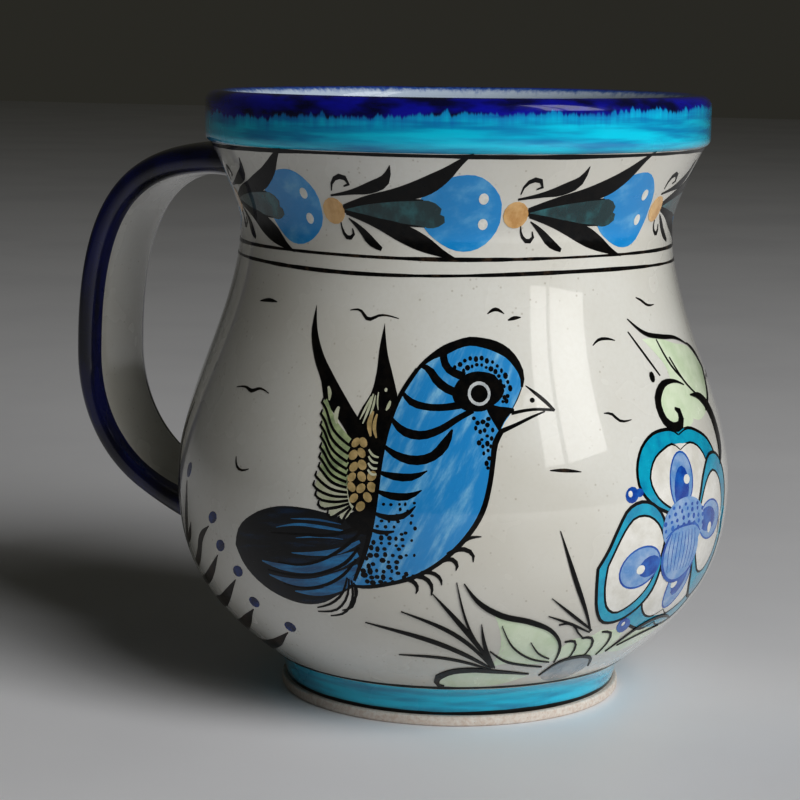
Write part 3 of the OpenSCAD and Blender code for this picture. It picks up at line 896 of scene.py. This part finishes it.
def wingParts():
    part = {"black": [
        field([[(-17.0, 50.0), (-18.8, 52.2), (-21.0, 54.2), (-23.5, 56.2), (-24.6, 58.6), (-27.3, 62.3),
                (-29.2, 66.3), (-29.2, 70.5)]],
              [[(-13.0, 50.4), (-14.9, 52.4), (-17.2, 54.6), (-19.4, 56.9), (-22.4, 59.9), (-25.6, 63.2),
                (-27.9, 66.6), (-29.2, 70.5)]], 1.2),
        field([[(-17.2, 51.6), (-16.2, 55.0), (-14.6, 57.8), (-14.1, 61), (-14.1, 64.4), (-13.6, 68.4)]],
              [[(-11.3, 49.2), (-10.8, 53.5), (-9.7, 56.4), (-10.8, 60), (-12.5, 64), (-13.6, 68.4)]], 1.2),
        field([[(-18.0, 50.4), (-15.6, 51.6), (-13.2, 51.2), (-11.6, 49.6)]],
              [[(-18.0, 50.4), (-17.8, 46.6), (-17.6, 42.6), (-16.8, 40.2), (-14.6, 39.3), (-12.6, 40.6),
                (-11.7, 44), (-11.6, 49.6)]], 1.2),
        field([[(-17.4, 38.6), (-14.6, 40.2), (-12.0, 42.6)]],
              [[(-17.4, 38.6), (-15.6, 36.4), (-12.6, 36.0), (-12.0, 42.6)]], 1.2)]}
    tips = [(-23.7, 55.7), (-23.5, 53.9), (-23.2, 52.2), (-22.8, 50.5), (-22.6, 48.9), (-22.5, 47.4),
            (-22.4, 45.9), (-22.8, 44.5), (-23.0, 43.0), (-22.5, 41.5), (-21.9, 40.0), (-20.2, 38.6),
            (-18.2, 37.9)]
    roots = [(-17.4 + 0.009 * k * k, 49.6 - 1.36 * k + 0.047 * k * k) for k in range(len(tips))]
    green, pale, ribs = [], [], []
    for k, ((x, z), (rootX, rootZ)) in enumerate(zip(tips, roots)):      # each feather and the rib below it
        midX, midZ = (rootX + x) / 2 - 0.1, (rootZ + z) / 2 - (0.9 - 0.03 * k)
        vane = [(rootX, rootZ + 0.55), (midX, midZ + 0.62), (x + 0.35, z + 0.35)]
        rib = [(rootX, rootZ), (midX, midZ), (x + 0.5, z - 0.42), (x - 0.12, z + 0.1), (x + 0.1, z + 0.75)]
        (green if k < 7 else pale).append(brush(vane, [1.0, 1.5, 1.15], 0.7))
        ribs.append(brush(rib, [0.4, 0.46, 0.42, 0.42, 0.2], 0.7))
    strips = [([(-14.5, 57.2), (-15.3, 55.4), (-16.1, 53.6)], 0.42),
              ([(-14.2, 57.6), (-14.7, 55.4), (-15.5, 53.0)], 0.5),
              ([(-13.8, 57.4), (-14.0, 55.6), (-14.4, 54.2)], 0.42),
              ([(-13.3, 57.9), (-13.3, 56.4), (-13.0, 55.2)], 0.3),
              ([(-23.1, 58.2), (-22.6, 57.3), (-22.4, 56.1)], 0.75),
              ([(-20.3, 55.3), (-20.6, 54.2), (-20.2, 52.7)], 0.85),
              ([(-11.0, 56.7), (-11.2, 56.0), (-11.6, 55.2)], 0.6)]
    pale += [brush(run, [width * 0.5, width, width * 0.35], 0.7) for run, width in strips]
    pale.append(dot((-12.0, 58.3), 0.3))
    for k in range(4):
        barb = [(-13.9 + 0.05 * k, 49.2 - 1.02 * k), (-13.0, 48.3 - 0.95 * k), (-12.1, 48.1 - 0.85 * k)]
        pale.append(brush(barb, [0.3, 0.4, 0.25], 0.7))
    part["green"], part["pale"], part["ribs"] = green, pale, ribs
    scaleSpots = (
        (-16.3, 50.1), (-15.0, 50.2), (-16.5, 48.2), (-15.1, 48.6), (-16.2, 46.4), (-14.8, 46.8),
        (-16.4, 44.8), (-14.7, 45.0), (-13.0, 45.2), (-16.3, 43.3), (-14.7, 43.2), (-12.9, 43.5),
        (-15.8, 41.6), (-13.5, 41.9), (-14.6, 40.4))
    part["scales"] = [oval(spot, 0.88, 0.62 + 0.05 * (n % 3), 48 * (-1) ** n, 0.7)
                      for n, spot in enumerate(scaleSpots)]
    part["scales"].append(brush([(-13.8, 55.0), (-14.3, 53.2), (-13.8, 51.2)], [0.3, 0.85, 0.3], 0.7))
    part["scales"].append(brush([(-13.1, 54.6), (-13.4, 52.8), (-12.8, 51.0)], [0.25, 0.7, 0.25], 0.7))
    return part


def paintBird(prefix, at):
    body, tail, wing = birdParts(), tailParts(), wingParts()
    marks = body["black"] + body["beakLines"] + body["claws"] + body["specks"]
    ribs = tail["lines"] + tail["featherLines"] + wing["ribs"]
    for name, shapes, level, slot, finish, lifted in (
            ("TailFeathers", tail["feathers"], 0, "white_glaze", "petal", 0.0),
            ("Tail", tail["field"], 0, "blue_paint", "tail", 0.012),
            ("TailStreaks", tail["blue"], 1, "blue_paint", "tailBlue", 0.01),
            ("Body", body["blue"], 2, "blue_paint", "birdBlue", 0.0),
            ("Beak", body["beak"], 0, "white_glaze", "petal", 0.0),
            ("Wings", wing["black"], 1, "black_paint", "black", 0.0),
            ("WingFeathers", wing["green"], 2, "green_paint", "wing", 0.0),
            ("WingPlumes", wing["pale"], 2, "green_paint", "plume", 0.0),
            ("WingScales", wing["scales"], 2, "ochre_paint", "scale", 0.0),
            ("Mask", body["mask"], 3, "black_paint", "black", 0.0),
            ("Lines", marks, 3, "black_paint", "black", 0.0),
            ("FeatherLines", ribs, 3, "black_paint", "black", 0.0),
            ("EyeRing", body["ring"], 4, "white_glaze", "ring", 0.0)):
        layFilm(prefix + name, moved(shapes, at), level, slot, finish, lifted)


paintBird("bird", 0)
paintBird("backBird", 116)
print("birds painted")

# blossom
blossom = {      # the top and left petals; the others are turned copies of the top one
    "centre": (44.5, 33.5),
    "topLeft": [(42.6, 36.0), (39.6, 37.4), (35.2, 39.6), (32.7, 42.6), (32.6, 45.4), (34.0, 48.2),
                (37.0, 50.2), (40.4, 50.7), (43.4, 50.3), (44.6, 49.6)],
    "topRight": [(42.6, 36.0), (47.0, 36.6), (51.6, 38.4), (55.4, 41.0), (57.3, 44.0), (55.4, 47.1),
                 (51.6, 49.2), (47.4, 50.2), (44.6, 49.6)],
    "topInnerLeft": [(43.6, 37.0), (39.6, 38.4), (36.6, 40.6), (35.3, 43.4), (36.6, 46.2), (39.4, 47.7),
                     (42.6, 48.2), (44.2, 47.2)],
    "topInnerRight": [(43.6, 37.0), (47.4, 37.6), (50.4, 39.4), (52.4, 41.8), (52.6, 44.2), (50.8, 46.6),
                      (47.4, 47.9), (44.2, 47.2)],
    "leftHigh": [(38.8, 33.2), (38.0, 37.0), (35.6, 39.4), (33.0, 40.1), (30.2, 39.2), (28.2, 36.4),
                 (26.4, 32.8), (24.7, 30.0)],
    "leftLow": [(38.8, 33.2), (38.6, 28.0), (37.6, 24.0), (35.0, 21.2), (31.4, 19.8), (28.3, 20.2),
                (26.2, 22.6), (25.1, 26.2), (24.7, 30.0)],
    "leftInnerHigh": [(38.6, 33.0), (36.9, 36.0), (34.2, 37.7), (31.4, 37.6), (29.6, 35.9), (28.0, 33.2),
                      (26.6, 30.2)],
    "leftInnerLow": [(38.6, 33.0), (37.6, 28.4), (36.2, 25.2), (33.4, 22.6), (30.4, 21.6), (28.2, 22.8),
                     (26.8, 25.8), (26.6, 30.2)],
}


def turnedAbout(shapes, degrees, centre):
    c, s = math.cos(math.radians(degrees)), math.sin(math.radians(degrees))
    made = []
    for shape in shapes:
        x, z = shape[..., 0] - centre[0], shape[..., 1] - centre[1]
        made.append(np.stack([centre[0] + x * c - z * s, centre[1] + x * s + z * c], -1))
    return made


def petalParts(outerA, outerB, innerA, innerB, rim, core, shine, turn):
    part = {"turquoise": [field([outerA], [outerB], 0.8)], "white": [field([innerA], [innerB], 0.8)]}
    edges = ((outerA, 0.52), (outerB, 0.5), (innerA, 0.36), (innerB, 0.36))
    part["lines"] = [brush(run, [width] * len(run)) for run, width in edges]
    part["lilac"] = [oval(*rim, turn, 1.2)]
    edge = ringPoints(*rim, np.linspace(0, math.tau, 22), turn)
    part["royal"] = [oval(*core, turn, 1.0), brush(edge, [0.3] * 22, 0.9)]
    part["dot"] = [oval(shine, 0.95, 0.8, 0, 0.7)]
    return part


topPetal = petalParts(blossom["topLeft"], blossom["topRight"], blossom["topInnerLeft"],
                      blossom["topInnerRight"],
                      ((43.4, 42.3), 3.3, 4.6), ((43.2, 41.2), 2.1, 3.5), (44.8, 42.3), -8)
leftPetal = petalParts(blossom["leftHigh"], blossom["leftLow"], blossom["leftInnerHigh"],
                       blossom["leftInnerLow"],
                       ((33.6, 29.2), 4.5, 3.4), ((35.7, 29.1), 2.5, 1.8), (33.7, 28.8), 12)
lowPetals, highPetals = {}, {}
for part in topPetal:
    lowPetals[part] = topPetal[part] + turnedAbout(topPetal[part], 180, blossom["centre"])
    highPetals[part] = leftPetal[part] + turnedAbout(topPetal[part], -92, blossom["centre"])
petalLayers = (
    ("turquoise", 0, "turquoise_glaze", "turquoise"), ("white", 1, "white_glaze", "petal"),
    ("lilac", 2, "blue_paint", "lilac"), ("royal", 3, "blue_paint", "royal"),
    ("dot", 4, "white_glaze", "white"), ("lines", 2, "black_paint", "black"))
cx, cz = blossom["centre"]
heart = [oval((cx - 0.4, cz + 1.4), 6.2, 4.6), oval((cx - 0.6, cz - 3.2), 5.3, 5.0, 0, 1.2)]
heartDots = []
for row, (height, count, reach) in enumerate(((4.9, 5, 3.6), (3.9, 7, 5.0), (2.8, 8, 5.6), (1.7, 8, 5.7))):
    for x in np.linspace(-reach, reach, count):
        across = cx - 0.4 + x + 0.35 * (row % 2) + rng.uniform(-0.15, 0.15)
        spot = (across, cz + height - abs(x) * 0.12 + rng.uniform(-0.15, 0.15))
        heartDots.append(dot(spot, rng.uniform(0.28, 0.46), 8))
heartRim = ringPoints((cx - 0.6, cz - 3.2), 5.3, 5.0, np.linspace(2.3, 5.9, 14))
heartLines = [brush(heartRim, [0.15] + [0.55] * 12 + [0.15])]
heartFold = [(-5.6, -0.2), (-3.4, 1.0), (0, 1.3), (3.2, 0.9), (4.8, -0.4)]
heartLines.append(brush([(cx + x, cz + z) for x, z in heartFold], [0.2, 0.4, 0.4, 0.4, 0.2]))
for x in np.linspace(-3.9, 3.9, 8):
    hatch = [(cx - 0.6 + x * 0.86, cz + 0.4), (cx - 0.6 + x, cz - 2.6), (cx - 0.6 + x * 0.84, cz - 6.2)]
    heartLines.append(brush(hatch, [0.1, 0.16, 0.1]))
buds = [oval((31.0, 41.4), 1.4, 1.3, 30, 0.8), oval((34.4, 18.6), 1.9, 1.3, -30, 0.8),
        oval((32.6, 41.6), 0.9, 0.7, 0, 0.8)]
budDots = [dot((30.6, 41.6), 0.5), dot((34.0, 19.0), 0.4)]
for prefix, petals, lifted in (("blossomLow", lowPetals, 0.0), ("blossomHigh", highPetals, 0.06)):
    for part, level, slot, finish in petalLayers:
        layFilm(prefix + part.capitalize(), petals[part], level, slot, finish, lifted)
layFilm("blossomHeart", heart, 4, "blue_paint", "lilac", 0.075)
layFilm("blossomHeartMarks", heartDots + heartLines, 4, "blue_paint", "royal", 0.09)
layFilm("blossomBuds", buds, 4, "blue_paint", "royal")
layFilm("blossomBudDots", budDots, 4, "white_glaze", "white", 0.03)
print("blossom painted")

# leaves, grass, gulls and vine
leafWork = {
    "fields": [
        ([[(41, 65), (46, 64.8), (52, 63.5), (60, 62), (66, 58)]],
         [[(41, 65), (44, 62.6), (46.5, 60), (46.8, 57.6)], [(46.8, 57.6), (48, 54), (52, 51.0), (58, 51.6),
                 (62, 53.6), (66, 58)]]),
        ([[(46.5, 58), (43, 57.3), (41, 54.5), (43, 51.5), (48, 50.2)]],
         [[(46.5, 58), (50, 57.8), (52, 54), (51, 51), (48, 50.2)]]),
        ([[(6.6, 24.4), (9, 23), (13, 21.8), (17.5, 20.2), (20.8, 17.2), (22.3, 13.2)]],
         [[(6.6, 24.4), (8.6, 20.5), (9.4, 16), (8.3, 12.5)],
          [(8.3, 12.5), (12.5, 13.2), (17, 12.6), (22.3, 13.0)]]),
        ([[(22.2, 13), (22.0, 16), (24.5, 17.5), (27, 17.2), (29.5, 18.5), (32, 18), (34.5, 18.6)]],
         [[(22.2, 13), (26.5, 13.6), (31, 12.8), (34.6, 12.8)], [(34.6, 12.8), (35.8, 15.5), (34.5, 18.6)]]),
        ([[(-3, 8.4), (0, 10.8), (5, 11.6), (12, 10.8), (18, 9.8)]],
         [[(-3, 8.4), (0, 7.7), (5, 7.6), (12, 8), (18, 9.7)]]),
        ([[(35, 13.2), (39.5, 17.2), (45.5, 18.2), (52, 16.6)]],
         [[(35, 13.2), (40.5, 12.4), (46, 13.4), (52, 16.4)]])],
    "strokes": [
        ([(37.8, 68.4), (42, 65.9), (47.5, 64.9), (53, 64.3), (59, 62.6)], [0.15, 0.8, 1.0, 0.7, 0.2]),
        ([(37.2, 66.4), (40.3, 62.8), (43.5, 59)], [0.15, 0.4, 0.2]),
        ([(45.5, 64.6), (48, 60.5), (51.5, 57.5)], [0.2, 0.4, 0.2]),
        ([(48.5, 61.5), (52, 57), (56, 54.5)], [0.2, 0.4, 0.2]),
        ([(59, 62.8), (63, 60.9), (66.2, 58)], [0.3, 0.8, 0.15]),
        ([(66.2, 58), (62.2, 53.8), (58, 51.8)], [0.15, 0.6, 0.3]),
        ([(51, 56.8), (47.2, 57.8), (43.2, 57.4), (40.8, 55.1), (41.4, 52.2), (44, 50.7), (46.4, 51.3),
          (46.6, 52.9), (45.4, 53.6)],
         [0.2, 0.8, 1.5, 1.9, 1.9, 2.0, 1.9, 1.6, 0.5]),
        ([(52.5, 55), (57, 54), (61, 50.5), (61.6, 46), (59.6, 42.6)], [0.3, 1.8, 3.4, 3.0, 0.3]),
        ([(2.2, 28.6), (4.6, 25.4), (8.5, 23), (14, 21.5), (18.5, 19.4), (21.5, 16), (22.3, 12.6)],
         [0.15, 0.9, 1.2, 1.1, 0.8, 0.6, 0.3]),
        ([(9, 21), (11.5, 17), (15.5, 14.3), (21, 12.8)], [0.15, 0.35, 0.35, 0.2]),
        ([(15, 17.5), (17.5, 15), (20.5, 13.6)], [0.15, 0.35, 0.2]),
        ([(7.6, 16), (11, 13.8), (15.5, 12.6), (20, 11.8)], [0.2, 0.5, 0.4, 0.2]),
        ([(22, 17), (24.3, 16.8), (25.3, 14.8), (25.2, 12.9)], [0.3, 0.5, 0.4, 0.2]),
        ([(25.4, 17.4), (28, 17), (29.2, 14.9), (29, 12.9)], [0.3, 0.5, 0.4, 0.2]),
        ([(29.6, 18.1), (32.2, 17.4), (33, 15), (32.6, 12.9)], [0.3, 0.5, 0.4, 0.2]),
        ([(19.4, 20.6), (21.8, 20.6), (24, 18.6), (26, 17.2)], [0.2, 0.4, 0.4, 0.2]),
        ([(18, 10.3), (10, 11.4), (4, 11.9), (-0.5, 11.1), (-3, 9.2), (-2.6, 8.0), (-1.2, 7.9)],
         [0.2, 0.9, 1.3, 1.5, 1.8, 1.2, 0.4]),
        ([(34.8, 13.3), (39.5, 17.4), (45.5, 18.4), (52, 16.8)], [0.3, 0.9, 0.8, 0.2]),
        ([(37, 14.2), (42, 15.6), (48, 16.2)], [0.2, 0.4, 0.2]),
        ([(21, 9.6), (23, 12.2), (27.6, 13.2), (32, 12.2), (34, 10.2)], [0.3, 0.6, 0.7, 0.6, 0.2])],
    "grass": [      # root, middle, tip and width
        ((8.6, 12.2), (-2, 17.6), (-14.8, 20.9), 1.15), ((8.4, 12.0), (0, 14.4), (-9.8, 14.9), 0.7),
        ((8.7, 12.4), (0.6, 19.6), (-8.2, 23.4), 0.95),
        ((9, 12.4), (2.4, 20.6), (-2.9, 26.8), 1.2), ((9.2, 12.5), (3.4, 20.4), (1, 28.8), 0.6),
        ((9.4, 12.3), (6.4, 17.2), (5.4, 21.4), 1.05),
        ((26.6, 18.6), (21.0, 28.0), (17.5, 36.8), 1.0), ((26.8, 18.8), (22.4, 21.6), (17.0, 25.6), 0.75),
        ((26.5, 18.4), (21.6, 20.6), (17.0, 22.4), 0.55),
    ],
    "gulls": [
        [(-21.2, 70.1), (-19.0, 70.2), (-17.2, 68.9), (-14.6, 69.6), (-10.9, 69.2)],
        [(6.4, 70.2), (8, 70.9), (9.7, 70.2)], [(10.4, 69.2), (11.6, 69.5), (13, 69.6)],
        [(27.7, 64.8), (29.2, 65.6), (31.2, 65.7), (33.3, 65.3)],
        [(27.4, 54.4), (29, 54.2), (30.4, 53.1), (33.2, 53)], [(16, 46.3), (18.4, 46.2), (21.5, 45.8)],
        [(-45.6, 56), (-42.6, 56.3), (-40.8, 55.9), (-38.8, 56.5), (-36, 56)],
        [(-40.6, 45.4), (-39.9, 43.8), (-39.2, 43.5), (-36.9, 43.9)],
        [(-46.4, 69.9), (-43, 70.3), (-40.4, 70.2)], [(41.8, 71.6), (43.6, 71), (45, 70.3), (48, 70.1)]],
    "backAt": 108, "backGullsAt": 112, "vineMirror": -132,      # how far round the copies stand
    "vineDrops": [(-32.4, 16.6, 16), (-39.4, 20.0, 14), (-41.2, 25.2, 20), (-45.2, 28.9, 25),
                  (-46.9, 33.4, 30), (-57.4, 39.6, 60)],
    "vineStems": [
        ([(-33.6, 16.2), (-40, 13.2), (-48, 11.0), (-58, 9.4), (-66, 8.6)], [0.9, 0.9, 1.1, 1.2, 0.8]),
        ([(-40.4, 19.4), (-46, 16.4), (-52, 14.2), (-60, 12.4), (-66, 11.4)], [0.9, 1.0, 1.3, 1.3, 0.8]),
        ([(-42.2, 24.4), (-46.6, 21.4), (-52, 18.8), (-58, 17.2), (-65, 16)], [0.8, 0.9, 1.2, 1.2, 0.8]),
        ([(-46.2, 28.0), (-50, 24.8), (-55, 22.2), (-62, 20.2)], [0.8, 0.9, 1.1, 0.8]),
        ([(-48.0, 32.6), (-51.6, 30.2), (-54.6, 26.8), (-60, 23.6)], [0.8, 0.9, 1.0, 0.8]),
        ([(-57.8, 38.6), (-58.4, 34.4), (-60.6, 29.6), (-64, 26.2)], [0.7, 0.9, 1.0, 0.8]),
        ([(-56.4, 31.6), (-58.2, 29.4), (-61.6, 27.4)], [0.7, 0.8, 0.5]),
        ([(-66.4, 7.4), (-65.4, 16), (-66.2, 26), (-64.6, 35), (-66.6, 44), (-64, 51)],
         [1.2, 1.5, 1.4, 1.2, 0.9, 0.2])],
}
fields = [field(a, b) for a, b in leafWork["fields"]]
strokes = [brush(points, [w * 0.8 for w in widths]) for points, widths in leafWork["strokes"]]
blades = [brush([a, b, c], [w * 0.26, w * 0.72, 0.08]) for a, b, c, w in leafWork["grass"]]
gulls = []
for run in leafWork["gulls"]:
    last = len(run) - 1
    widths = np.interp(np.arange(last + 1), [0, last / 2, last], [0.14, 0.6, 0.12])
    gulls.append(brush(run, widths, 0.8))
drops = [oval((x + 0.5, z + 1.0), 1.5, 0.95, t, 0.8) for x, z, t in leafWork["vineDrops"]]
stems = [brush(points, [0.15] + [w * 1.55 for w in widths[1:]]) for points, widths in leafWork["vineStems"]]
stone = [oval((27.6, 10.2), 6.3, 2.6, 0)]
layFilm("leafFills", fields, 0, "green_paint", "leaf")
layFilm("leafStones", stone, 1, "grey_glaze", "stone")
layFilm("leafLines", strokes + [dot((41, 59), 0.75)], 4, "black_paint", "black", 0.09)
layFilm("grassBlades", blades, 3, "black_paint", "black", 0.09)
layFilm("gulls", gulls, 1, "black_paint", "blackThin")
mirror = leafWork["vineMirror"]
mirrored = moved(stems[:-1], mirror, flip=True)      # both vines grow from one main stem
layFilm("vineStems", stems + mirrored, 1, "black_paint", "vine")
# the drops' colour carries painted shade as well as their ink blue
layFilm("vineDrops", drops + moved(drops, mirror, flip=True), 2, "blue_paint", "inkBlueAndShade")
back = leafWork["backAt"]      # the low leaf, its stone and its grass stand again beside the second bird
layFilm("backLeafFills", moved(fields[2:6], back), 0, "green_paint", "leaf")
layFilm("backLeafStones", moved(stone, back), 1, "grey_glaze", "stone")
layFilm("backLeafLines", moved(strokes[8:], back), 4, "black_paint", "black")
layFilm("backGrass", moved(blades, back), 3, "black_paint", "black")
layFilm("backGulls", moved(gulls[:7], leafWork["backGullsAt"]), 1, "black_paint", "blackThin")
print("leaves, grass, gulls and vine painted; films:", len(laid))

# floor, light and camera
studio = {
    "floorSize": 6.0, "floorTone": tone(238, 239, 243), "floorCloud": tone(224, 225, 230),
    "floorRough": 0.45, "world": (0.034, 0.033, 0.027), "gamma": 0.86,
    "window": {      # two panes, each with its start and stop in degrees round the mug
        "panes": ((-31.0, -22.4), (-20.4, -1.0)), "low": 15.5, "high": 58.0,
        "from": (0.03, -0.031, 0.06), "away": 1.1, "power": 2.75, "colour": (1, 0.985, 0.96),
    },
    "key": {"at": (1.0, -0.5, 0.75), "size": 0.8, "power": 6.5, "colour": (1, 0.99, 0.97)},
}
freshStart()
bpy.ops.mesh.primitive_plane_add(size=studio["floorSize"], location=(0, 0, 0))
floor = bpy.context.object
floor.name = "studioFloor"
ground = Recipe("paleFloor", Roughness=studio["floorRough"])
clouds = ground.between(ground.cloud(ground.place(), 9, 4), 0.35, 0.7) * 0.5
ground.feed(Base_Color=ground.blend(clouds, studio["floorTone"], studio["floorCloud"]))
floor.data.materials.append(ground.material)
world = bpy.data.worlds.new("studioWorld")
bpy.context.scene.world = world
world.use_nodes = True
world.node_tree.nodes["Background"].inputs["Color"].default_value = (*studio["world"], 1)


def areaLight(name, at, aim, width, height, look, mirrored):      # mirrored: the glaze reflects it
    light = bpy.data.lights.new(name, "AREA")
    light.shape = "RECTANGLE"
    light.size = width
    light.size_y = height
    light.energy = look["power"] * width * height * math.pi
    light.color = look["colour"]
    lamp = bpy.data.objects.new(name, light)
    lamp.visible_glossy = mirrored
    bpy.context.scene.collection.objects.link(lamp)
    lamp.location = at
    lamp.rotation_mode = "QUATERNION"
    lamp.rotation_quaternion = (Vector(aim) - Vector(at)).to_track_quat("-Z", "Y")


window = studio["window"]
fromX, fromY, fromZ = window["from"]
low, high = (window["away"] * math.tan(math.radians(window[k])) for k in ("low", "high"))
for n, (start, stop) in enumerate(window["panes"]):
    middle = math.radians((start + stop) / 2)
    away, height = window["away"], fromZ + (low + high) / 2
    at = (fromX + away * math.cos(middle), fromY + away * math.sin(middle), height)
    wide = 2 * away * math.tan(math.radians((stop - start) / 2))
    areaLight(f"windowPane{n}", at, (fromX, fromY, height), wide, high - low, window, True)
key = studio["key"]
areaLight("softKey", key["at"], (0, 0, 0.05), key["size"], key["size"], key, False)

view = {
    "away": 0.4028, "round": 20.0, "up": 0.1133,      # metres, and degrees round from the front
    "pan": 21.333, "tilt": 81.097, "roll": 0.646, "lens": 104.5,
}
lens = bpy.data.cameras.new("studioCamera")
lens.lens = view["lens"]
lens.sensor_width = 36
lens.clip_start = 0.01      # close enough for a mug
camera = bpy.data.objects.new("studioCamera", lens)
bpy.context.scene.collection.objects.link(camera)
roundAngle = math.radians(view["round"])
standing = Vector((view["away"] * math.sin(roundAngle), -view["away"] * math.cos(roundAngle), view["up"]))
camera.matrix_world = Matrix.Translation(standing)
for turn, axis in (("pan", "Z"), ("tilt", "X"), ("roll", "Z")):
    camera.matrix_world = camera.matrix_world @ Matrix.Rotation(math.radians(view[turn]), 4, axis)
bpy.context.scene.camera = camera
bpy.context.scene.view_settings.view_transform = "Standard"
bpy.context.scene.view_settings.gamma = studio["gamma"]
print("camera, lights and floor set")
